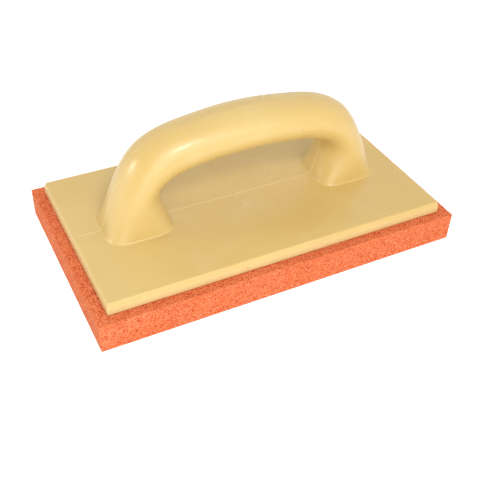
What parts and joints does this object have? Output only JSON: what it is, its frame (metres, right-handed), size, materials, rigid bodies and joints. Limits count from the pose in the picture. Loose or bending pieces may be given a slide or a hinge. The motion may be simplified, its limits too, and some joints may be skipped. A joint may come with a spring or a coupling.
{
  "type": "sponge float",
  "caption": "Hand float for smoothing render: a rigid moulded plate and loop handle in one piece, with a thick sponge rubber pad bonded under the plate.",
  "frame": {"origin": "centre of the sponge pad's flat working face", "axes": "+X along the handle and the long side, +Y across the plate, +Z from the working face up to the grip"},
  "size_m": [0.25, 0.144, 0.0971],
  "materials": {
    "moulded_body": "rigid polyurethane foam with a smooth moulded skin, cream yellow, satin",
    "contact_adhesive": "dried contact adhesive, amber, slightly uneven",
    "sponge_rubber": "cut cellular rubber, orange, open pores of about a millimetre"
  },
  "bodies": {
    "root": {"float_body": "moulded_body", "adhesive_film": "contact_adhesive", "sponge_pad": "sponge_rubber"}
  },
  "joints": []
}
